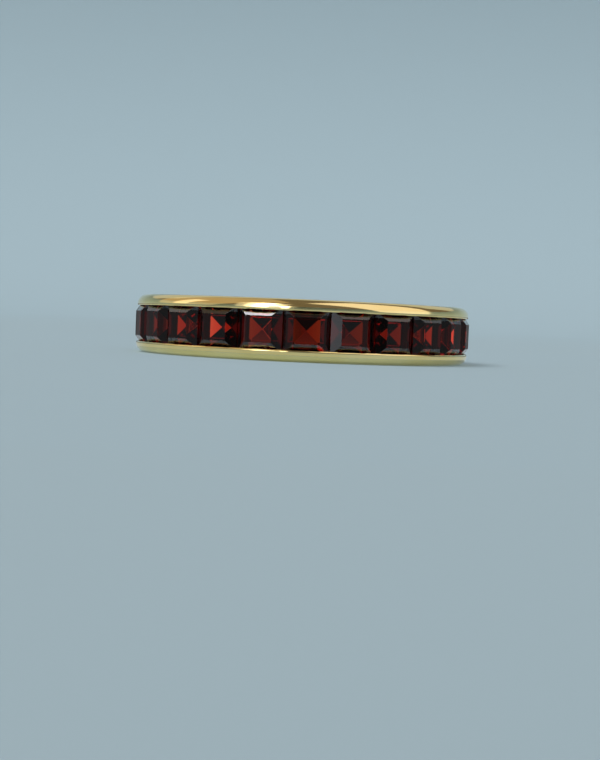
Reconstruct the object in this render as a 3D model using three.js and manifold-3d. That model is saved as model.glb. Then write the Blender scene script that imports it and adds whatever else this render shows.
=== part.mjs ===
// A channel-set eternity ring, lying on its side: one cast gold band with two rails,
// and a full circle of square garnets whose edges sit in a groove between the rails.
// Millimetres, +Z up. The origin is on the ring's axis, in the plane of its lower side face.

import * as THREE from "three";
import { mergeVertices } from "three/addons/utils/BufferGeometryUtils.js";
import Module from "manifold-3d";

const wasm = await Module();
wasm.setup();

// Driving dimensions

const BORE_DIAMETER = 16.5; // the finger size, US 6 or EU 52
const BORE_ROUNDING = 0.25; // comfort rounding where the bore meets the side faces
const STONE_SIDE = 2.5; // each garnet is a 2.5 mm square
const STONE_SPACING = 0.03; // least gap between two neighbouring stones
const CULET_COVER = 0.25; // room between a stone's point and the finger
const RAIL_WALL = 0.46; // metal beside the stones' edges, out to the side face
const RAIL_ROUNDING = 0.55; // each rail is domed from its lip to its side
const RAIL_GRIP = 0.18; // how far a rail's lip covers the stones' edges
const LIP_THICKNESS = 0.14; // metal over the stones' edges
const LIP_CUT_WIDTH = 0.07; // bright cut along each lip, across the rail's face
const LIP_CUT_DEPTH = 0.05; // bright cut along each lip, into the rail's face
const SEAT_LEDGE = 0.26; // width of the ledge that carries a stone's edge
const SEAT_CLEARANCE = 0.02; // gap between stone and metal all round the seat
const WINDOW_BAR = 0.56; // metal left between two windows, at the finger
const WINDOW_TAPER = 18; // degrees by which a window's walls close in towards the stone
const WINDOW_CLEARANCE = 0.18; // room round a stone's point where it enters its window

// The cut of a stone, as jewellers state it, in shares of its side

const TABLE_WIDTH = 0.59;
const CROWN_HEIGHT = 0.168;
const GIRDLE_HEIGHT = 0.032;
const PAVILION_DEPTH = 0.472;
const BREAK_WIDTH = 0.8; // the stone's width where its pavilion changes slope
const BREAK_DEPTH = 0.208; // and how far that is below the girdle

// How finely round surfaces are faceted

const SEGMENTS_PER_STONE = 4;
const RAIL_ARC_STEPS = 6;
const BORE_ARC_STEPS = 3;

// The stone's square sections, from its point up to its table. half is half a section's
// width, and level its height above the top of the girdle.
const halfSide = STONE_SIDE / 2;
const table = { half: halfSide * TABLE_WIDTH, level: STONE_SIDE * CROWN_HEIGHT };
const girdleTop = { half: halfSide, level: 0 };
const girdleFoot = { half: halfSide, level: -STONE_SIDE * GIRDLE_HEIGHT };
const pavilionBreak = {
  half: halfSide * BREAK_WIDTH,
  level: girdleFoot.level - STONE_SIDE * BREAK_DEPTH,
};
const culet = { half: 0, level: girdleFoot.level - STONE_SIDE * PAVILION_DEPTH };

// How much a stone's level changes for each millimetre of its half width.
const slope = (low, high) => (high.level - low.level) / Math.abs(high.half - low.half);
const crownSlope = slope(girdleTop, table);
const seatSlope = slope(pavilionBreak, girdleFoot);
const pointSlope = slope(culet, pavilionBreak);

// The stones stand on their points' cover, and side by side at the foot of their girdles.
const boreRadius = BORE_DIAMETER / 2;
const girdleRadius = boreRadius + CULET_COVER - culet.level;
const girdleFootRadius = girdleRadius + girdleFoot.level;
const stoneCount = Math.floor(
  Math.PI / Math.atan((halfSide + STONE_SPACING / 2) / girdleFootRadius),
);
const segments = stoneCount * SEGMENTS_PER_STONE;

// A flat stone's corners lie further from the axis than its middle does, and the band's
// flat facets lie nearer to it than the circle through their corners.
function clearRadius(radius, half) {
  const facetStretch = 1 / Math.cos(Math.PI / segments);
  return Math.hypot(radius, half) * facetStretch + SEAT_CLEARANCE;
}

// The band across the stones
const openHalf = halfSide - RAIL_GRIP;
const channelHalf = halfSide - SEAT_LEDGE;
const grooveHalf = halfSide + SEAT_CLEARANCE;
const bandHalf = grooveHalf + RAIL_WALL;

// The band outwards from the finger
const lipUnderside = clearRadius(girdleRadius + RAIL_GRIP * crownSlope, openHalf);
const outerRadius = lipUnderside + LIP_THICKNESS;

// The base wall is as thick as lets a stone's point clear its tapered window.
const windowTaper = Math.tan(THREE.MathUtils.degToRad(WINDOW_TAPER));
const windowHalf = (Math.PI * boreRadius) / stoneCount - WINDOW_BAR / 2;
const baseWall =
  (windowHalf - WINDOW_CLEARANCE + CULET_COVER / pointSlope) / (1 / pointSlope + windowTaper);

// Points along an arc from one angle to another, both ends included.
function arcPoints(centre, radius, fromAngle, toAngle, steps) {
  return Array.from({ length: steps + 1 }, (_, i) => {
    const angle = THREE.MathUtils.lerp(fromAngle, toAngle, i / steps);
    return new THREE.Vector2(
      centre.x + radius * Math.cos(angle),
      centre.y + radius * Math.sin(angle),
    );
  });
}

// The upper half of the band's section, from the bore round to the channel's floor.
// x is the distance from the ring's axis, and y the distance from its middle plane.
function upperSection() {
  const lipCutWidth = Math.min(LIP_CUT_WIDTH, (bandHalf - openHalf) / 4);
  const lipCutDepth = Math.min(LIP_CUT_DEPTH, LIP_THICKNESS / 2);
  const flatFace = lipCutWidth / 4; // the sliver of upright face between cut and dome
  const boreRound = Math.min(BORE_ROUNDING, bandHalf / 2);
  const railRound = Math.min(RAIL_ROUNDING, bandHalf - openHalf - lipCutWidth - flatFace);
  const seatDrop = SEAT_CLEARANCE * Math.hypot(1, seatSlope);
  const seatTop = girdleFootRadius - seatDrop;

  return [
    ...arcPoints(
      new THREE.Vector2(boreRadius + boreRound, bandHalf - boreRound),
      boreRound,
      Math.PI,
      Math.PI / 2,
      BORE_ARC_STEPS,
    ),
    ...arcPoints(
      new THREE.Vector2(outerRadius - railRound, bandHalf - railRound),
      railRound,
      Math.PI / 2,
      0,
      RAIL_ARC_STEPS,
    ),
    new THREE.Vector2(outerRadius, openHalf + lipCutWidth),
    new THREE.Vector2(outerRadius - lipCutDepth, openHalf),
    new THREE.Vector2(lipUnderside, openHalf),
    new THREE.Vector2(clearRadius(girdleRadius, halfSide), grooveHalf),
    new THREE.Vector2(seatTop, grooveHalf),
    new THREE.Vector2(seatTop - SEAT_LEDGE * seatSlope, channelHalf),
    new THREE.Vector2(boreRadius + baseWall, channelHalf),
  ];
}

// A three.js geometry as a solid, with its shared vertices merged.
function toSolid(geometry) {
  const bare = geometry.clone();
  bare.deleteAttribute("normal");
  bare.deleteAttribute("uv");
  const merged = mergeVertices(bare, 1e-5);
  return new wasm.Manifold(
    new wasm.Mesh({
      numProp: 3,
      vertProperties: merged.getAttribute("position").array,
      triVerts: new Uint32Array(merged.index.array),
    }),
  );
}

// A solid as a flat-shaded three.js geometry.
function toGeometry(solid) {
  const mesh = solid.getMesh();
  const geometry = new THREE.BufferGeometry();
  geometry.setAttribute("position", new THREE.BufferAttribute(mesh.vertProperties, 3));
  geometry.setIndex(new THREE.BufferAttribute(mesh.triVerts, 1));
  const flat = geometry.toNonIndexed();
  flat.computeVertexNormals();
  return flat;
}

// The angle of a stone round the axis. The first one faces the front, along -Y.
function stoneAngle(index) {
  return -Math.PI / 2 + (index * 2 * Math.PI) / stoneCount;
}

// The band before its windows are cut, turned about Z with its middle plane at zero.
function bandBlank() {
  const upper = upperSection();
  const lower = upper.map((p) => new THREE.Vector2(p.x, -p.y)).reverse();
  const outline = [...upper, ...lower, upper[0]].reverse();
  const lathe = new THREE.LatheGeometry(outline, segments);
  return lathe.rotateX(Math.PI / 2);
}

// A square window through the base wall behind one stone, wider towards the finger.
function windowCutter(index) {
  const overrun = baseWall / 2; // the cutter runs past both faces of the wall
  const outerHalf = windowHalf - (baseWall + overrun) * windowTaper;
  const innerHalf = windowHalf + overrun * windowTaper;
  const prism = new THREE.CylinderGeometry(
    outerHalf * Math.SQRT2,
    innerHalf * Math.SQRT2,
    baseWall + 2 * overrun,
    4,
  );
  prism.rotateY(Math.PI / 4); // the square's sides, and not its corners, face +Z
  prism.translate(0, boreRadius + baseWall / 2, 0);
  prism.rotateZ(stoneAngle(index) - Math.PI / 2);
  return toSolid(prism);
}

// The cast band: rails, groove, ledges and base in one piece, with a window for each stone.
function makeBand() {
  let solid = toSolid(bandBlank());
  for (let i = 0; i < stoneCount; i += 1) {
    solid = solid.subtract(windowCutter(i));
  }
  const band = new THREE.Mesh(toGeometry(solid), goldMaterial);
  band.name = "band";
  return band;
}

// One square step-cut stone: a four-sided turning of its sections, with the table along +Y.
function stoneGeometry() {
  const outline = [culet, pavilionBreak, girdleFoot, girdleTop, table].map(
    (section) => new THREE.Vector2(section.half * Math.SQRT2, section.level),
  );
  outline.push(new THREE.Vector2(0, table.level));
  const turned = new THREE.LatheGeometry(outline, 4, Math.PI / 4);
  return toGeometry(toSolid(turned));
}

// A stone in its seat, its table facing away from the axis.
function makeStone(geometry, index) {
  const stone = new THREE.Mesh(geometry, garnetMaterial);
  const angle = stoneAngle(index);
  stone.name = `garnet_${String(index + 1).padStart(2, "0")}`;
  stone.position.set(girdleRadius * Math.cos(angle), girdleRadius * Math.sin(angle), 0);
  stone.rotation.z = angle - Math.PI / 2;
  return stone;
}

const goldMaterial = new THREE.MeshStandardMaterial({
  name: "polished_gold",
  color: 0xe0b25a,
  roughness: 0.12,
  metalness: 1.0,
});
const garnetMaterial = new THREE.MeshStandardMaterial({
  name: "garnet",
  color: 0x4f0b08,
  roughness: 0.04,
  metalness: 0.0,
});

// The ring lies on its lower side face, so its middle plane is half its width up.
function makeRing() {
  const ring = new THREE.Group();
  const cutStone = stoneGeometry();
  ring.add(makeBand());
  for (let i = 0; i < stoneCount; i += 1) {
    ring.add(makeStone(cutStone, i));
  }
  ring.position.z = bandHalf;
  return ring;
}

export default makeRing();
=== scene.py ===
# %% [markdown]
# A channel-set garnet ring, dressed in Blender.
#
# The ring is a slim band for stacking. Square garnets stand side by side all the way round it,
# and nothing but two polished gold rails holds them. The frame that this lesson loads already
# has the ring's sizes and places, worked out in CAD. Here the same two kinds of piece, one band
# and its stones, are modelled again with the fine surfaces that a lens sees, and given their
# gold, their red glass-like depth, and the soft light that shows both.

# %% Load the frame
import math

import bmesh
import bpy
from mathutils import Matrix, Vector


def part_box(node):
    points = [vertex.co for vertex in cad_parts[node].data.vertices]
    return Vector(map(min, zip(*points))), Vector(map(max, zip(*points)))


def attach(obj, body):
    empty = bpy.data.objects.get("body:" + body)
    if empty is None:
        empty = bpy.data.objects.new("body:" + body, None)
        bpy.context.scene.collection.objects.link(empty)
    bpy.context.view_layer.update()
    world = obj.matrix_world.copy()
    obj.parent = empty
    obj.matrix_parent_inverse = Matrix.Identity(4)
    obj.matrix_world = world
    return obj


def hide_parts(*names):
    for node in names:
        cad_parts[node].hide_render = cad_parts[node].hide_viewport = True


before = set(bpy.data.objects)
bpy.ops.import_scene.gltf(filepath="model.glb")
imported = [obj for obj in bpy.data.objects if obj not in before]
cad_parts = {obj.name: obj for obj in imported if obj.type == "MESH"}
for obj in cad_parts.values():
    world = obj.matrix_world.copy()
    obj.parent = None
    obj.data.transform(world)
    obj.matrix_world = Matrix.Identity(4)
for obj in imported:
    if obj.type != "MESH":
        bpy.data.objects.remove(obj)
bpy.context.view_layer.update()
stone_nodes = sorted(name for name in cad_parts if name.startswith("garnet"))
print("CAD nodes:", len(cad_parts), "of which stones:", len(stone_nodes))

# %% [markdown]
# A jeweller works in millimetres, and so does this lesson. One Blender unit stands for one
# millimetre while a piece is being shaped. Blender's modelling tools are happier with sizes
# near one than with sizes near a thousandth, where the distances at which they merge vertices
# are as coarse as the fine cuts in the metal. A finished piece is shrunk once, to metres, and
# moved up onto the surface. The main sizes are read from the frame, so the pieces fit it by
# themselves.

# %% Sizes read from the frame, in millimetres
MM = 0.001
band_low, band_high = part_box("band")
stone_low, stone_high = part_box(stone_nodes[0])
outer_radius = (band_high[0] - band_low[0]) / 2 / MM
band_half = (band_high[2] - band_low[2]) / 2 / MM
stone_half = (stone_high[0] - stone_low[0]) / 2 / MM
table_radius = -stone_low[1] / MM
culet_radius = -stone_high[1] / MM
pitch = 2 * math.pi / len(stone_nodes)
print(f"band {2 * outer_radius:.2f} across and {2 * band_half:.2f} wide,",
      f"stones {2 * stone_half:.2f} square, tables {table_radius - outer_radius:.2f} proud")

# %% [markdown]
# No box shows the sizes inside the metal or the angles of the stones, so those are named here.
# The grip is how far a rail reaches over the edge of a stone, and the ledge is the step under
# that edge. A stone has a flat table on top, a crown that slopes down to its widest line, the
# girdle, and below that a pavilion, which is steep at first and flatter from its break to the
# point. The shares are parts of the stone's width.

# %% Sizes inside the metal and on the stones, in millimetres
BORE_RADIUS = 8.25
BORE_ROUNDING = 0.25
BASE_WALL = 0.543
RAIL_ROUNDING = 0.55
RAIL_GRIP = 0.18
LIP_THICKNESS = 0.14
LIP_CUT_WIDTH = 0.07
LIP_CUT_DEPTH = 0.05
SEAT_LEDGE = 0.26
SEAT_CLEARANCE = 0.02

TABLE_SHARE = 0.59
CROWN_HEIGHT = 0.168 * 2 * stone_half
GIRDLE_HEIGHT = 0.032 * 2 * stone_half
BREAK_SHARE = 0.80
BREAK_DEPTH = 0.208 * 2 * stone_half

open_half = stone_half - RAIL_GRIP
groove_half = stone_half + SEAT_CLEARANCE
channel_half = stone_half - SEAT_LEDGE
girdle_radius = table_radius - CROWN_HEIGHT
girdle_foot_radius = girdle_radius - GIRDLE_HEIGHT
seat_slope = BREAK_DEPTH / (stone_half * (1 - BREAK_SHARE))
seat_top = girdle_foot_radius - SEAT_CLEARANCE * math.hypot(1, seat_slope)
print(f"rails {2 * open_half:.2f} apart, girdles at radius {girdle_radius:.2f},",
      f"seat at radius {seat_top:.2f}, channel {2 * channel_half:.2f} wide under it")

# %% [markdown]
# Small helpers come back in every step. An operator works on whatever is selected, and the
# frame's nodes are selected after loading, so the first helper clears the selection. Another
# picks vertices by where they are, which is what a hand does with a mouse. The last two turn a
# finished shape into a piece of the object.

# %% Helpers for modelling
def deselect_all():
    """Leaves edit mode, if that is on, and selects nothing."""
    if bpy.context.object and bpy.context.object.mode != "OBJECT":
        bpy.ops.object.mode_set(mode="OBJECT")
    bpy.ops.object.select_all(action="DESELECT")


def select_only(*objects):
    """Selects these objects and makes the first one active."""
    deselect_all()
    for each in objects:
        each.select_set(True)
    bpy.context.view_layer.objects.active = objects[0]


def pick_vertices(obj, wanted):
    """In edit mode, selects the vertices whose position makes wanted(position) true."""
    bpy.ops.mesh.select_all(action="DESELECT")
    cage = bmesh.from_edit_mesh(obj.data)
    for vertex in cage.verts:
        vertex.select = wanted(vertex.co)
    cage.select_flush(True)
    bmesh.update_edit_mesh(obj.data)


def apply_modifier(obj, kind, **settings):
    """Adds a modifier, gives it its settings and applies it at once."""
    select_only(obj)
    modifier = obj.modifiers.new(kind.lower(), kind)
    for name, value in settings.items():
        setattr(modifier, name, value)
    bpy.ops.object.modifier_apply(modifier=modifier.name)


# %% Helpers for finished pieces
def to_metres(obj):
    """Shrinks a piece from millimetres to metres, lifts it onto the surface and fixes that."""
    select_only(obj)
    obj.location.z += band_half
    obj.location *= MM
    obj.scale *= MM
    bpy.ops.object.transform_apply(location=True, rotation=True, scale=True)


def finish_piece(obj, node, material):
    """Makes obj the shown form of a CAD node: gives it this material, puts it on the ring's body
    and hides the node.
    """
    obj.data.materials.clear()
    obj.data.materials.append(material)
    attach(obj, "root")
    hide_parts(node)


deselect_all()
print("objects still selected:", len(bpy.context.selected_objects))

# %% [markdown]
# The camera is made first, because the shapes are judged through it. It looks at the ring
# almost edge on: the lens is little more than half a millimetre above the ring's middle plane,
# and it is a slightly long one, so that the ring's roundness still shows. The camera is aimed a
# little down, so that the ring sits above the middle of the picture, and it leans by two and a
# half degrees, so that the ring's right side is lower. It has no blur, so that every stone
# stays sharp.

# %% Camera
CAMERA_DISTANCE = 81.9
CAMERA_LIFT = 0.6
CAMERA_AZIMUTH = math.radians(-1.4)
CAMERA_PITCH = math.radians(-2.6)
CAMERA_ROLL = math.radians(2.5)
LENS = 62.8
SENSOR_WIDTH = 36.0

camera_data = bpy.data.cameras.new("camera")
camera_data.lens = LENS
camera_data.sensor_width = SENSOR_WIDTH
camera_data.clip_start = 0.001
camera_data.clip_end = 20.0
camera = bpy.data.objects.new("camera", camera_data)
bpy.context.collection.objects.link(camera)
camera.matrix_world = (
    Matrix.Rotation(CAMERA_AZIMUTH, 4, "Z")
    @ Matrix.Translation((0, -CAMERA_DISTANCE * MM, (band_half + CAMERA_LIFT) * MM))
    @ Matrix.Rotation(math.pi / 2 + CAMERA_PITCH, 4, "X")
    @ Matrix.Rotation(CAMERA_ROLL, 4, "Z")
)
bpy.context.scene.camera = camera
print("camera", [round(value, 4) for value in camera.matrix_world.translation], "metres")

# %% [markdown]
# The band starts as a drawing of its section. It could be carved out of a tube with Boolean
# cuts, but then each fine step would need a cutter and a rounding of its own. On a lathe, a ring
# is a section turned round an axis, and Blender's spin does the same. The section is drawn as by
# hand: one vertex is extruded from corner to corner. Each rail is domed from its lip to its side,
# a bright cut runs along each lip, and under the lip are the groove for the stones' edges, the
# ledge they sit on, and the floor of the channel.

# %% Draw a section
SEED_SIZE = 0.1
SAME_PLACE = 1e-4


def draw_outline(name, points, closed=True):
    """A chain of edges in the XZ plane, extruded from point to point."""
    deselect_all()
    # The plane is merged into one vertex, which is where the drawing starts.
    bpy.ops.mesh.primitive_plane_add(size=SEED_SIZE, location=(points[0][0], 0, points[0][1]))
    outline = bpy.context.object
    outline.name = outline.data.name = name
    bpy.ops.object.transform_apply(location=True, rotation=True, scale=True)
    bpy.ops.object.mode_set(mode="EDIT")
    bpy.ops.mesh.select_mode(type="VERT")
    bpy.ops.mesh.select_all(action="SELECT")
    bpy.ops.mesh.merge(type="CENTER")
    for here, there in zip(points, points[1:]):
        step = (there[0] - here[0], 0, there[1] - here[1])
        bpy.ops.mesh.extrude_region_move(TRANSFORM_OT_translate={"value": step})
    if closed:
        ends = [Vector((x, 0, z)) for x, z in (points[0], points[-1])]
        pick_vertices(outline,
                      lambda place: min((place - end).length for end in ends) < SAME_PLACE)
        bpy.ops.mesh.edge_face_add()
    return outline


# Each row is a corner: its distance from the axis, its height above the middle plane, the
# radius that rounds it, and the number of steps in that rounding.
upper_corners = [
    (BORE_RADIUS, band_half, BORE_ROUNDING, 8),
    (outer_radius, band_half, RAIL_ROUNDING, 16),
    (outer_radius, open_half + LIP_CUT_WIDTH, 0.012, 2),
    (outer_radius - LIP_CUT_DEPTH, open_half, 0.015, 2),
    (outer_radius - LIP_THICKNESS, open_half, 0.01, 2),
    (math.hypot(girdle_radius, stone_half) + SEAT_CLEARANCE, groove_half, 0.02, 2),
    (seat_top, groove_half, 0.02, 2),
    (seat_top - SEAT_LEDGE * seat_slope, channel_half, 0.03, 2),
    (BORE_RADIUS + BASE_WALL, channel_half, 0.06, 3),
]
lower_corners = [(x, -z, radius, steps) for x, z, radius, steps in reversed(upper_corners)]
corners = upper_corners + lower_corners
band = draw_outline("gold_band", [(x, z) for x, z, _, _ in corners])
print("section drawn with", len(corners), "corners")

# %% [markdown]
# The corners are rounded while the section is still flat. Beveling a vertex of a drawing is
# quick and exact, and the rounding comes out even all round the ring after the spin. The bevel
# needs a face to work on, so the outline is filled first, and the face is taken away again.

# %% Round the section and spin it
STEPS_PER_STONE = 18

bpy.ops.mesh.select_all(action="SELECT")
bpy.ops.mesh.edge_face_add()
for x, z, radius, steps in corners:
    corner = Vector((x, 0, z))
    pick_vertices(band, lambda place: (place - corner).length < SAME_PLACE)
    bpy.ops.mesh.bevel(offset=radius, segments=steps, affect="VERTICES", profile=0.5,
                       clamp_overlap=True)
bpy.ops.mesh.select_all(action="SELECT")
bpy.ops.mesh.delete(type="ONLY_FACE")
bpy.ops.mesh.select_all(action="SELECT")
bpy.ops.mesh.spin(steps=STEPS_PER_STONE * len(stone_nodes), angle=2 * math.pi,
                  center=(0, 0, 0), axis=(0, 0, 1))
bpy.ops.mesh.select_all(action="SELECT")
bpy.ops.mesh.remove_doubles(threshold=SAME_PLACE)
bpy.ops.mesh.normals_make_consistent(inside=False)
deselect_all()
print("band turned:", len(band.data.vertices), "vertices")

# %% [markdown]
# Behind each stone the base of the channel has a square window. It lets light into the stone
# from the back and lets it be washed. A real one is drilled and filed, so it is wider at the
# finger and its corners are soft. The faces round a window could be deleted and bridged by
# hand, but 24 times over that is slow and uneven. So one cutter is shaped from a cube, copied
# round the ring, and a Boolean modifier takes all the cutters out of the band at once.

# %% Shape a window cutter
WINDOW_HALF = 0.8
WINDOW_TAPER = math.tan(math.radians(18))
WINDOW_CORNER = 0.1


def shape_window_cutter():
    """A tapered block through the base wall, on the side of the first stone."""
    # The block reaches past the wall on both sides, so that it cuts all the way through.
    overrun = BASE_WALL / 2
    middle = BORE_RADIUS + BASE_WALL / 2
    deselect_all()
    bpy.ops.mesh.primitive_cube_add(size=1, location=(0, -middle, 0))
    cutter = bpy.context.object
    cutter.name = "window_cutter"
    wide = WINDOW_HALF + overrun * WINDOW_TAPER
    narrow = WINDOW_HALF - (BASE_WALL + overrun) * WINDOW_TAPER
    cutter.scale = (2 * wide, BASE_WALL + 2 * overrun, 2 * wide)
    bpy.ops.object.transform_apply(location=True, rotation=True, scale=True)
    bpy.ops.object.mode_set(mode="EDIT")
    pick_vertices(cutter, lambda place: place.y < -middle)
    bpy.ops.transform.resize(value=(narrow / wide, 1, narrow / wide),
                             center_override=(0, -middle, 0))
    bpy.ops.mesh.select_all(action="DESELECT")
    cage = bmesh.from_edit_mesh(cutter.data)
    for edge in cage.edges:
        start, end = (vertex.co for vertex in edge.verts)
        edge.select = abs(start.y - end.y) > overrun
    bmesh.update_edit_mesh(cutter.data)
    bpy.ops.mesh.bevel(offset=WINDOW_CORNER, segments=3, affect="EDGES", clamp_overlap=True)
    deselect_all()
    return cutter


cutter = shape_window_cutter()
print("window cutter:", len(cutter.data.polygons), "faces")


# %% Cut the windows
def copy_turned(obj, name, turns):
    """A copy of obj with its own mesh, turned about the ring's axis by that many stones."""
    twin = obj.copy()
    twin.data = obj.data.copy()
    twin.name = twin.data.name = name
    bpy.context.collection.objects.link(twin)
    twin.data.transform(Matrix.Rotation(turns * pitch, 4, "Z"))
    return twin


cutters = [cutter] + [copy_turned(cutter, "window_cutter", turn)
                      for turn in range(1, len(stone_nodes))]
select_only(*cutters)
bpy.ops.object.join()
apply_modifier(band, "BOOLEAN", object=cutter, operation="DIFFERENCE", solver="EXACT")
bpy.data.objects.remove(cutter)
print("band with windows:", len(band.data.polygons), "faces")

# %% [markdown]
# Polished metal has no true edges. Most of the section's corners are round already, so what is
# left sharp is the rims of the windows. A Bevel modifier that goes by angle finds those, and
# eases the tightest corners of the groove once more. Then the faces are shaded smooth wherever
# they meet at less than thirty degrees.

# %% Soften the windows and smooth the band
RIM_SOFTNESS = 0.02
SHARP_FROM = math.radians(35)
SMOOTH_TO = math.radians(30)

apply_modifier(band, "BEVEL", width=RIM_SOFTNESS, segments=2, limit_method="ANGLE",
               angle_limit=SHARP_FROM, use_clamp_overlap=True)
select_only(band)
bpy.ops.object.shade_smooth_by_angle(angle=SMOOTH_TO)
print("band finished:", len(band.data.vertices), "vertices,",
      [round(side, 3) for side in band.dimensions], "mm")

# %% [markdown]
# A cutter grinds a stone flat by flat against a lap. Its corners could be moved into place one
# by one, but then a facet is easily left bent, and a bent facet spoils what is seen through it.
# Bisect is the cutter's own way: it slices the mesh with a plane, throws one side away and
# closes the wound with a flat facet. The rough is a block. Four cuts make the crown round the
# table, four steep cuts start the pavilion, and four flatter ones bring it to a point. Their
# edges are the cross that shows under the table.

# %% Cut one garnet
CUT_MARGIN = 1e-5


def grind(point, normal):
    """In edit mode, cuts away what lies beyond a plane and leaves a flat facet there."""
    # Bisect takes no number over one in a normal, so the normal is given its unit length.
    bpy.ops.mesh.select_all(action="SELECT")
    bpy.ops.mesh.bisect(plane_co=point, plane_no=Vector(normal).normalized(), use_fill=True,
                        clear_outer=True, threshold=CUT_MARGIN)


def cut_garnet():
    """One stone at the front of the ring, its table facing -Y."""
    deselect_all()
    depth = table_radius - culet_radius
    bpy.ops.mesh.primitive_cube_add(size=1, location=(0, -(culet_radius + depth / 2), 0))
    stone = bpy.context.object
    stone.scale = (2 * stone_half, depth, 2 * stone_half)
    bpy.ops.object.transform_apply(location=True, rotation=True, scale=True)
    bpy.ops.object.mode_set(mode="EDIT")

    crown_run = stone_half * (1 - TABLE_SHARE)
    break_half = stone_half * BREAK_SHARE
    break_radius = girdle_foot_radius - BREAK_DEPTH
    # Each row is a ring of four facets: how far out and at what radius its planes lie, and how
    # far their normals lean towards the table for each unit that they point outwards.
    facets = [
        (stone_half, girdle_radius, crown_run / CROWN_HEIGHT),
        (stone_half, girdle_foot_radius, -(stone_half - break_half) / BREAK_DEPTH),
        (break_half, break_radius, -break_half / (break_radius - culet_radius)),
    ]
    for out, radius, lean in facets:
        for side in ((1, 0), (-1, 0), (0, 1), (0, -1)):
            grind((side[0] * out, -radius, side[1] * out), (side[0], -lean, side[1]))
    deselect_all()
    return stone


garnet = cut_garnet()
print("facets on one stone:", len(garnet.data.polygons))

# %% [markdown]
# Even a well cut stone has edges a few thousandths of a millimetre wide, and they are what
# catches the light as fine bright lines. A Bevel of one segment makes them. The facets stay
# flat and are shaded flat, because a smooth shading would bend what is seen through them.

# %% Ease the facet edges
FACET_EDGE = 0.008
FACET_FROM = math.radians(5)

apply_modifier(garnet, "BEVEL", width=FACET_EDGE, segments=1, limit_method="ANGLE",
               angle_limit=FACET_FROM)
print("faces on one stone, edges counted:", len(garnet.data.polygons))

# %% [markdown]
# A material is a small graph of nodes, and making each node takes three or four lines: one for
# the node, one for each setting and one for each link. These helpers shorten that, so that the
# recipes of the gold, the garnet and the paper can be read from top to bottom.

# %% Helpers for materials
def new_material(name):
    """An empty node material, its Principled shader and a function that adds nodes to it."""
    material = bpy.data.materials.new(name)
    material.use_nodes = True
    tree = material.node_tree
    shader = tree.nodes["Principled BSDF"]

    def add(kind, inputs=(), **settings):
        node = tree.nodes.new(kind)
        for key, value in settings.items():
            setattr(node, key, value)
        for key, value in dict(inputs).items():
            if isinstance(value, bpy.types.NodeSocket):
                tree.links.new(value, node.inputs[key])
            else:
                node.inputs[key].default_value = value
        return node

    return material, shader, add


def link(material, output, target):
    """Joins an output socket to an input socket."""
    material.node_tree.links.new(output, target)


def color_ramp(add, factor, stops):
    """A colour ramp from a list of (position, colour)."""
    ramp = add("ShaderNodeValToRGB", {"Fac": factor})
    elements = ramp.color_ramp.elements
    while len(elements) < len(stops):
        elements.new(0.5)
    for element, (position, colour) in zip(elements, stops):
        element.position = position
        element.color = (*colour, 1.0)
    return ramp.outputs["Color"]


# %% [markdown]
# Gold is a metal, so all of its look is reflection: the colour tints what it mirrors. Plated
# and polished gold isn't a perfect mirror. Fine polishing lines run round the ring, the tone
# wanders a little, and wear leaves hair scratches and faint clouds in the gloss. Plain object
# coordinates would draw the lines straight through the ring, so their pattern is read in
# coordinates that are wrapped round the axis. No polishing wheel reaches the channel under the
# stones, so it is dull. Its colour is also darkened there as painted shade, which makes the
# joints between the stones look dark.

# %% Where things are on the gold
# Each pair is where the polish begins and where it is full, in millimetres: a distance from the
# axis at the lips and at the finger, and a distance from the middle plane on the rails. Short of
# the polish, in the channel, the gold is dull and its colour is darkened as painted shade.
LIP_POLISH = (9.6, 9.7)
FINGER_POLISH = (BORE_RADIUS + 0.40, BORE_RADIUS + 0.15)
RAIL_POLISH = (groove_half + 0.03, groove_half + 0.10)


def wrapped_coordinates(add):
    """Object coordinates unrolled round the ring: length round it, height, and radius."""
    place = add("ShaderNodeTexCoord").outputs["Object"]
    split = add("ShaderNodeSeparateXYZ", {0: place})
    angle = add("ShaderNodeMath", {0: split.outputs["Y"], 1: split.outputs["X"]},
                operation="ARCTAN2")
    around = add("ShaderNodeMath", {0: angle.outputs[0], 1: outer_radius * MM},
                 operation="MULTIPLY")
    flat = add("ShaderNodeCombineXYZ", {"X": split.outputs["X"], "Y": split.outputs["Y"]})
    radius = add("ShaderNodeVectorMath", {0: flat.outputs[0]}, operation="LENGTH")
    return add("ShaderNodeCombineXYZ", {
        "X": around.outputs[0], "Y": split.outputs["Z"], "Z": radius.outputs["Value"],
    }).outputs[0]


def rising(add, value, limits):
    """Nought up to the first limit, and one from the second on."""
    return add("ShaderNodeMapRange", {"Value": value, "From Min": limits[0] * MM,
                                      "From Max": limits[1] * MM}).outputs[0]


def polish_and_shade_places(add, wrapped):
    """One on polished gold, nought in the dull channel under the stones, where shade is painted.
    """
    across = add("ShaderNodeSeparateXYZ", {0: wrapped})
    above = add("ShaderNodeMath", {0: across.outputs["Y"], 1: band_half * MM},
                operation="SUBTRACT")
    from_middle = add("ShaderNodeMath", {0: above.outputs[0]}, operation="ABSOLUTE")
    on_rails = rising(add, from_middle.outputs[0], RAIL_POLISH)
    at_lips = rising(add, across.outputs["Z"], LIP_POLISH)
    at_finger = rising(add, across.outputs["Z"], FINGER_POLISH)
    skins = add("ShaderNodeMath", {0: at_lips, 1: at_finger}, operation="MAXIMUM")
    polished = add("ShaderNodeMath", {0: skins.outputs[0], 1: on_rails}, operation="MAXIMUM")
    return polished.outputs[0]


# %% Polished gold
GOLD_LIGHT = (0.97, 0.80, 0.40)
GOLD_DEEP = (0.92, 0.73, 0.31)
# A dark colour painted into the channel under the stones as shade.
GOLD_SHADED_RECESS = (0.16, 0.09, 0.04)
GOLD_GLOSS = (0.05, 0.16)
RECESS_ROUGHNESS = 0.5
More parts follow.
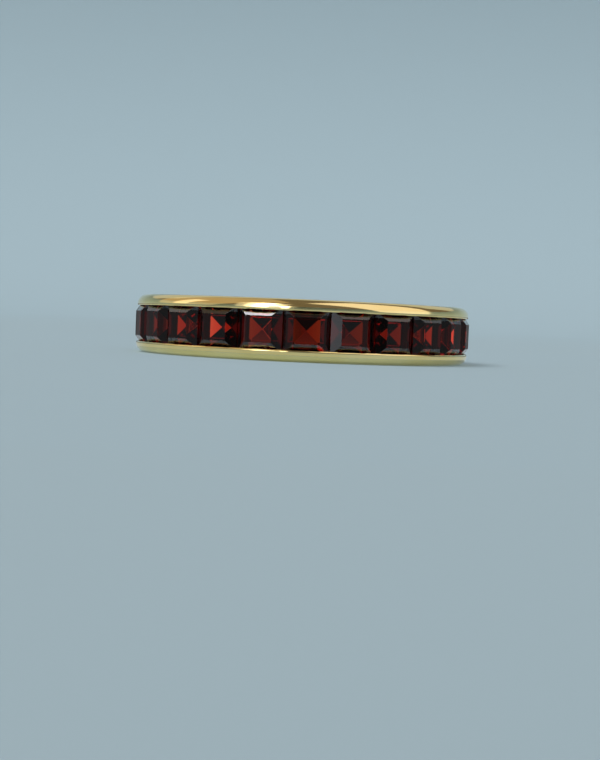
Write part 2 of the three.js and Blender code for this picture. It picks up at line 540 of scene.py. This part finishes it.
# A scale is roughly how many blots of the noise fit in a metre. The lines are sixty times as
# long as they are wide. The heights of the waves and of the lines are in metres.
TONE_SCALE = 260.0
CLOUD_SCALE = 900.0
WAVE_SCALE = 420.0
LINE_SCALE = (150.0, 9000.0, 9000.0)
WAVE_HEIGHT = 0.00002
LINE_HEIGHT = 0.000002


def make_gold():
    """Yellow gold with polishing lines, clouds and hair scratches; dull in its channel, with
    painted shade there.
    """
    material, shader, add = new_material("polished_gold")
    place = add("ShaderNodeTexCoord").outputs["Object"]
    wrapped = wrapped_coordinates(add)
    polished = polish_and_shade_places(add, wrapped)

    tone = add("ShaderNodeTexNoise", {"Vector": place, "Scale": TONE_SCALE, "Detail": 3.0})
    colour = color_ramp(add, tone.outputs["Fac"], [(0.35, GOLD_DEEP), (0.65, GOLD_LIGHT)])
    # Where the mask is nought, in the channel, the base colour is the dark painted shade.
    metal = add("ShaderNodeMixRGB", {"Fac": polished, "Color1": (*GOLD_SHADED_RECESS, 1.0),
                                     "Color2": colour})
    link(material, metal.outputs[0], shader.inputs["Base Color"])

    long_lines = add("ShaderNodeMapping", {"Vector": wrapped, "Scale": LINE_SCALE})
    lines = add("ShaderNodeTexNoise", {"Vector": long_lines.outputs[0], "Scale": 1.0,
                                       "Detail": 4.0, "Roughness": 0.6})
    clouds = add("ShaderNodeTexNoise", {"Vector": place, "Scale": CLOUD_SCALE, "Detail": 4.0})
    wear = add("ShaderNodeMath", {0: lines.outputs["Fac"], 1: clouds.outputs["Fac"]},
               operation="MULTIPLY")
    roughness = add("ShaderNodeMapRange", {"Value": wear.outputs[0],
                                           "From Min": 0.1, "From Max": 0.45,
                                           "To Min": GOLD_GLOSS[0], "To Max": GOLD_GLOSS[1]})
    finish = add("ShaderNodeMix", {"Factor": polished, "A": RECESS_ROUGHNESS,
                                   "B": roughness.outputs[0]})
    link(material, finish.outputs[0], shader.inputs["Roughness"])

    waves = add("ShaderNodeTexNoise", {"Vector": place, "Scale": WAVE_SCALE, "Detail": 1.0})
    soft = add("ShaderNodeBump", {"Height": waves.outputs["Fac"], "Strength": 0.25,
                                  "Distance": WAVE_HEIGHT})
    fine = add("ShaderNodeBump", {"Height": lines.outputs["Fac"], "Strength": 0.12,
                                  "Distance": LINE_HEIGHT, "Normal": soft.outputs[0]})
    link(material, fine.outputs[0], shader.inputs["Normal"])
    shader.inputs["Metallic"].default_value = 1.0
    return material


gold = make_gold()
print("gold:", len(gold.node_tree.nodes), "nodes")

# %% [markdown]
# A garnet is clear, but its red is so strong that a few millimetres of it look black. A dark
# red paint on the surface would look like plastic. So the surface gives only a first, slightly
# uneven red tint and bends light strongly, and a volume inside the stone absorbs more green and
# blue along the way. Thick paths go dark, short ones flash red, and the facets of the pavilion
# throw the flashes about.

# %% Garnet
GARNET_IOR = 1.76
GARNET_TINT_DEEP = (0.78, 0.28, 0.18)
GARNET_TINT_PALE = (0.86, 0.36, 0.25)
GARNET_ABSORB = (0.84, 0.18, 0.09)
GARNET_DENSITY = 1600.0
VEIL_SCALE = 350.0


def make_garnet():
    """Clear dark red stone: strong refraction outside, absorption inside."""
    material, shader, add = new_material("garnet")
    place = add("ShaderNodeTexCoord").outputs["Object"]
    veils = add("ShaderNodeTexNoise", {"Vector": place, "Scale": VEIL_SCALE, "Detail": 2.0})
    tint = color_ramp(add, veils.outputs["Fac"],
                      [(0.3, GARNET_TINT_DEEP), (0.7, GARNET_TINT_PALE)])
    link(material, tint, shader.inputs["Base Color"])
    shader.inputs["IOR"].default_value = GARNET_IOR
    shader.inputs["Transmission Weight"].default_value = 1.0
    shader.inputs["Roughness"].default_value = 0.0
    absorption = add("ShaderNodeVolumeAbsorption", {"Color": (*GARNET_ABSORB, 1.0),
                                                    "Density": GARNET_DENSITY})
    output = material.node_tree.nodes["Material Output"]
    link(material, absorption.outputs[0], output.inputs["Volume"])
    return material


garnet_red = make_garnet()
print("garnet:", len(garnet_red.node_tree.nodes), "nodes")

# %% [markdown]
# The pieces now take the places of the frame's nodes. The cut stone is copied once for each
# seat, each copy with a mesh of its own, and turned round the ring's axis. Every piece rides
# on the ring's one body. The stones also go into a collection of their own, so that a light can
# be told to shine on them alone.

# %% Set the stones and finish the pieces
stones_only = bpy.data.collections.new("stones_only")
for turn, node in enumerate(stone_nodes):
    set_stone = copy_turned(garnet, f"cut_{node}", turn)
    to_metres(set_stone)
    finish_piece(set_stone, node, garnet_red)
    stones_only.objects.link(set_stone)
bpy.data.objects.remove(garnet)

to_metres(band)
finish_piece(band, "band", gold)

# %% [markdown]
# The ring lies on a sweep of pale blue-grey paper. A sweep is a floor that curves up into a
# wall, so that no edge shows behind the object. It could be a bent sheet behind the ring, but
# then the ring could be seen from the front alone. This one is spun like the band and goes all
# the way round.

# %% Paper
PAPER = (0.36, 0.468, 0.525)
FIBRE_SCALE = 1500.0
FIBRE_HEIGHT = 0.00002


def make_paper():
    """Matt paper with a faint tooth."""
    material, shader, add = new_material("paper")
    place = add("ShaderNodeTexCoord").outputs["Object"]
    fibres = add("ShaderNodeTexNoise", {"Vector": place, "Scale": FIBRE_SCALE, "Detail": 5.0})
    tooth = add("ShaderNodeBump", {"Height": fibres.outputs["Fac"], "Strength": 0.15,
                                   "Distance": FIBRE_HEIGHT})
    link(material, tooth.outputs[0], shader.inputs["Normal"])
    shader.inputs["Base Color"].default_value = (*PAPER, 1.0)
    shader.inputs["Roughness"].default_value = 0.95
    shader.inputs["Specular IOR Level"].default_value = 0.1
    return material


paper = make_paper()
print("paper:", len(paper.node_tree.nodes), "nodes")

# %% Sweep, in metres
SWEEP_MIDDLE = 0.0001
SWEEP_FLOOR = 0.30
SWEEP_CURVE = 0.22
SWEEP_CURVE_STEPS = 16
SWEEP_SIDES = 96


def make_sweep():
    """A round floor whose rim curves up into a wall."""
    profile = [(SWEEP_MIDDLE, 0.0), (SWEEP_FLOOR / 3, 0.0), (SWEEP_FLOOR, 0.0)]
    for step in range(1, SWEEP_CURVE_STEPS + 1):
        turn = math.radians(90) * step / SWEEP_CURVE_STEPS
        profile.append((SWEEP_FLOOR + SWEEP_CURVE * math.sin(turn),
                        SWEEP_CURVE * (1 - math.cos(turn))))
    sweep = draw_outline("paper_sweep", profile, closed=False)
    bpy.ops.mesh.select_all(action="SELECT")
    bpy.ops.mesh.spin(steps=SWEEP_SIDES, angle=2 * math.pi, center=(0, 0, 0), axis=(0, 0, 1))
    # The innermost ring of vertices is merged into one, which closes the floor.
    bpy.ops.mesh.select_all(action="SELECT")
    bpy.ops.mesh.remove_doubles(threshold=3 * SWEEP_MIDDLE)
    bpy.ops.mesh.normals_make_consistent(inside=True)
    deselect_all()
    select_only(sweep)
    bpy.ops.object.shade_smooth()
    sweep.data.materials.append(paper)
    return sweep


sweep = make_sweep()
print("paper sweep:", [round(side, 2) for side in sweep.dimensions], "metres")

# %% [markdown]
# Light for metal is mostly a matter of what the metal mirrors, so the lights are of two kinds.
# Softboxes are for the mirroring, and the paper hardly shows them. Each one is placed by the
# direction in which it is seen from the ring, as an azimuth from the front (right is positive)
# and an elevation. Three windows on the left, each wider and dimmer than the one before, make
# the white streak on the upper rail and let it fade at its ends. A lower window draws it out to
# the right, and all of them glint in the lip of the lower rail. A large dim panel on the right
# makes the peach-coloured stretch, and a dimmer one on the left, with a brighter strip in it,
# keeps the gold there from going black. A pale blue one, high up behind the ring, is mirrored in
# the tops of the rails. A small light high up shines on the stones alone, and whitens the upper
# bevel of one of them.

# %% Helpers for softboxes
def seen_toward(azimuth, elevation):
    """The unit vector from the ring to something seen at these angles, in degrees."""
    side, up = math.radians(azimuth), math.radians(elevation)
    return Vector((math.sin(side) * math.cos(up), -math.cos(side) * math.cos(up), math.sin(up)))


def add_softbox(name, azimuth, elevation, distance, size, radiance, colour, in_stones=False):
    """A rectangular light that faces the ring, mirrored and, if in_stones, seen through stones."""
    data = bpy.data.lights.new(name, "AREA")
    data.shape = "RECTANGLE"
    data.size, data.size_y = size
    # An area light of this power looks as bright as its radiance says, whatever its size.
    data.energy = radiance * math.pi * size[0] * size[1]
    data.color = colour
    light = bpy.data.objects.new(name, data)
    bpy.context.collection.objects.link(light)
    direction = seen_toward(azimuth, elevation)
    light.location = direction * distance + Vector((0, 0, band_half * MM))
    light.rotation_mode = "QUATERNION"
    light.rotation_quaternion = direction.to_track_quat("Z", "Y")
    light.visible_camera = False
    light.visible_diffuse = False
    light.visible_transmission = in_stones
    return light


# %% Softboxes
COOL_WHITE = (1.0, 0.98, 1.0)
LILAC_WHITE = (0.93, 0.93, 1.0)
PEACH = (1.0, 0.91, 0.84)
TAN = (1.0, 0.78, 0.50)
PALE_BLUE = (0.80, 0.92, 1.0)

# After its name, each softbox has its azimuth and elevation in degrees, its distance and its
# width and height in metres, its radiance and its colour.
add_softbox("window_tall", -30, 26, 0.40, (0.07, 0.36), 3.4, COOL_WHITE)
add_softbox("window_glow", -31, 26, 0.40, (0.14, 0.36), 1.2, COOL_WHITE)
add_softbox("window_edge", -32, 26, 0.40, (0.22, 0.36), 0.45, COOL_WHITE)
add_softbox("window_low", -17, 14, 0.40, (0.085, 0.17), 5.0, COOL_WHITE)
add_softbox("panel_right", 72, 43, 0.34, (0.32, 0.54), 0.80, PEACH, in_stones=True)
add_softbox("panel_left", -90, 44, 0.34, (0.40, 0.54), 0.32, TAN)
add_softbox("spot_left", -93, 27, 0.34, (0.08, 0.22), 0.7, PEACH)
bevel_light = add_softbox("bevel_light", -69, 70, 0.30, (0.020, 0.020), 7.5, LILAC_WHITE)
bevel_light.light_linking.receiver_collection = stones_only
add_softbox("backdrop_top", 180, 40, 0.50, (0.90, 0.30), 0.42, PALE_BLUE)

# %% [markdown]
# The paper gets its own light. One sun overhead would leave the wall dark, and one low down the
# floor. Two suns of about the same strength shine from the left and from the right, somewhat
# steeper than forty-five degrees. That lights floor and wall nearly alike, so no edge shows
# between them. Only the left one casts a shadow, and its wide disc makes that shadow soft. The
# room itself is dim and warm.

# %% Daylight and room
SUN_ELEVATION = 54
SUN_DISC = 40
ROOM = (0.20, 0.17, 0.14)
ROOM_STRENGTH = 0.8


def add_sun(name, azimuth, strength, casts_shadow):
    """Even light from one side that the metal and the stones don't mirror."""
    data = bpy.data.lights.new(name, "SUN")
    data.energy = strength
    data.angle = math.radians(SUN_DISC)
    data.use_shadow = casts_shadow
    sun = bpy.data.objects.new(name, data)
    bpy.context.collection.objects.link(sun)
    sun.rotation_mode = "QUATERNION"
    sun.rotation_quaternion = seen_toward(azimuth, SUN_ELEVATION).to_track_quat("Z", "Y")
    sun.visible_glossy = False
    sun.visible_transmission = False
    return sun


suns = [add_sun("daylight_left", -50, 1.49, True), add_sun("daylight_right", 45, 1.43, False)]

world = bpy.data.worlds.new("room")
world.use_nodes = True
world.node_tree.nodes["Background"].inputs["Color"].default_value = (*ROOM, 1.0)
world.node_tree.nodes["Background"].inputs["Strength"].default_value = ROOM_STRENGTH
bpy.context.scene.world = world
bpy.context.scene.view_settings.view_transform = "Standard"
print("suns:", [(sun.name, round(sun.data.energy, 2)) for sun in suns])

# %% [markdown]
# What a dark stone shows is mostly what stands round it, so the rest of the light is screens. A
# stone shows two pictures. Its flat faces mirror what stands in front of them, and its body
# shows what is seen through it, bent by its facets. Cycles tells the two apart, because a ray
# that bounced off a surface counts as glossy and one that went through as transmission. So a
# screen can be made for one picture and left out of the other. The camera sees no screen, and
# none throws a shadow or lights the paper.

# %% Helpers for screens
WALL_CORNERS = 180
MAT_CORNERS = 72


def make_screen(screen, name, colour):
    """Names a screen, gives it its own dim glow and hides it from the camera and the paper."""
    screen.name = name
    material, shader, _ = new_material(name)
    shader.inputs["Base Color"].default_value = (0.0, 0.0, 0.0, 1.0)
    shader.inputs["Specular IOR Level"].default_value = 0.0
    shader.inputs["Emission Color"].default_value = (*colour, 1.0)
    shader.inputs["Emission Strength"].default_value = 1.0
    screen.data.materials.append(material)
    screen.visible_camera = False
    screen.visible_shadow = False
    screen.visible_diffuse = False
    return screen


def azimuth_of(place):
    """The azimuth of a place as seen from the axis, in whole degrees from the front."""
    return round(math.degrees(math.atan2(place.x, -place.y)))


# %% Walls, plates and mats
def make_wall(name, radius, low, high, left, right, colour):
    """An upright wall round the ring's axis, between two azimuths, left and right."""
    deselect_all()
    # One corner stands at every second degree, so left and right are even numbers.
    bpy.ops.mesh.primitive_cylinder_add(vertices=WALL_CORNERS, radius=radius, depth=high - low,
                                        end_fill_type="NOTHING", location=(0, 0, (low + high) / 2))
    screen = bpy.context.object
    bpy.ops.object.transform_apply(location=True, rotation=True, scale=True)
    bpy.ops.object.mode_set(mode="EDIT")
    pick_vertices(screen, lambda place: not left <= azimuth_of(place) <= right)
    bpy.ops.mesh.delete(type="VERT")
    deselect_all()
    return make_screen(screen, name, colour)


def make_plate(name, azimuth, distance, width, height, colour):
    """An upright plate that stands on the paper and faces the ring."""
    deselect_all()
    middle = seen_toward(azimuth, 0) * distance + Vector((0, 0, height / 2))
    bpy.ops.mesh.primitive_plane_add(size=1, location=middle)
    screen = bpy.context.object
    screen.scale = (width, height, 1)
    screen.rotation_euler = (math.pi / 2, 0, math.radians(azimuth))
    bpy.ops.object.transform_apply(location=True, rotation=True, scale=True)
    return make_screen(screen, name, colour)


def make_mat(name, radius, level, colour):
    """A round mat just above the paper, with its middle under the ring's."""
    deselect_all()
    bpy.ops.mesh.primitive_circle_add(vertices=MAT_CORNERS, radius=radius, fill_type="NGON",
                                      location=(0, 0, level))
    screen = bpy.context.object
    bpy.ops.object.transform_apply(location=True, rotation=True, scale=True)
    return make_screen(screen, name, colour)


def cut_middle(mat, radius):
    """Cuts a round hole into a mat."""
    select_only(mat)
    bpy.ops.object.mode_set(mode="EDIT")
    bpy.ops.mesh.select_all(action="SELECT")
    bpy.ops.mesh.inset(thickness=mat.dimensions.x / 2 - radius)
    bpy.ops.mesh.delete(type="FACE")
    deselect_all()


# %% [markdown]
# The mirrored picture comes first. A low card stands all round the ring, a little less high
# than the ring is wide. It is nearly black in front and dark grey at the sides, and the stones'
# tables mirror it. A small pale card, a little to the left of the camera's line, gives one bevel
# its sheen. A pale mat lies round the foot of the ring, and the lower rail mirrors it.

# %% Screens that the surfaces mirror, in metres
CARD_RADIUS = 0.032
CARD_TOP = 0.0027
CARD_FRONT = (-6, 10)
MAT_RADIUS = 0.06
FOOT_RADIUS = 0.0106
FOOT_LEVEL = 0.00004
GREY = (0.70, 0.73, 0.78)
PALE_GREY = (0.43, 0.50, 0.53)

# Each row is a part of the low card: its name, its left and right azimuth and its colour.
for name, left, right, colour in [
    ("low_card_left", -180, CARD_FRONT[0], (0.13, 0.135, 0.14)),
    ("low_card_front", CARD_FRONT[0], CARD_FRONT[1], (0.030, 0.030, 0.030)),
    ("low_card_right", CARD_FRONT[1], 180, (0.12, 0.125, 0.13)),
]:
    make_wall(name, CARD_RADIUS, 0.0, CARD_TOP, left, right, colour)
grey_card = make_plate("grey_card", azimuth=-13.5, distance=0.0154, width=0.0015,
                       height=0.005, colour=GREY)
pale_ring = make_mat("pale_ring", MAT_RADIUS, FOOT_LEVEL, PALE_GREY)
cut_middle(pale_ring, FOOT_RADIUS)
for screen in (grey_card, pale_ring):
    screen.visible_transmission = False
print("pale mat:", round(2 * MAT_RADIUS, 3), "across, with a hole of", round(2 * FOOT_RADIUS, 4))

# %% [markdown]
# The other picture is seen through the stones. A black mat and a black wall in front keep them
# dark. In the finger hole stands a curl of pale paper, as photographers put behind a ring's
# stones to make them glow. Each stone looks through its facets at another part of it, so the
# curl is made of strips: most are dim and warm, and two are bright.

# %% Screens that are seen through the stones, in metres
BLACK = (0.008, 0.008, 0.009)
WALL_RADIUS = 0.12
WALL_REACH = 100
MAT_LEVEL = 0.00005
CURL_RADIUS = 0.0065
CURL_LOW = 0.0005
CURL_HIGH = 0.0029

# Each row is a strip of the curl: its left and right azimuth and its colour.
CURL_STRIPS = [
    (-180, -62, (0.26, 0.20, 0.15)),
    (-62, -42, (0.50, 0.38, 0.27)),
    (-42, -26, (0.95, 1.05, 0.85)),
    (-26, -8, (0.28, 0.22, 0.10)),
    (-8, 30, (0.17, 0.13, 0.045)),
    (30, 42, (0.20, 0.16, 0.12)),
    (42, 54, (0.26, 0.20, 0.15)),
    (54, 66, (0.45, 0.34, 0.25)),
    (66, 104, (1.35, 1.50, 1.30)),
    (104, 180, (0.20, 0.16, 0.12)),
]
inner_screens = [
    make_wall("black_wall", WALL_RADIUS, 0.0, WALL_RADIUS, -WALL_REACH, WALL_REACH, BLACK),
    make_mat("black_mat", MAT_RADIUS, MAT_LEVEL, BLACK),
]
for number, (left, right, colour) in enumerate(CURL_STRIPS, start=1):
    inner_screens.append(
        make_wall(f"paper_curl_{number}", CURL_RADIUS, CURL_LOW, CURL_HIGH, left, right, colour))
for screen in inner_screens:
    screen.visible_glossy = False
print("screens seen through the stones:", len(inner_screens))
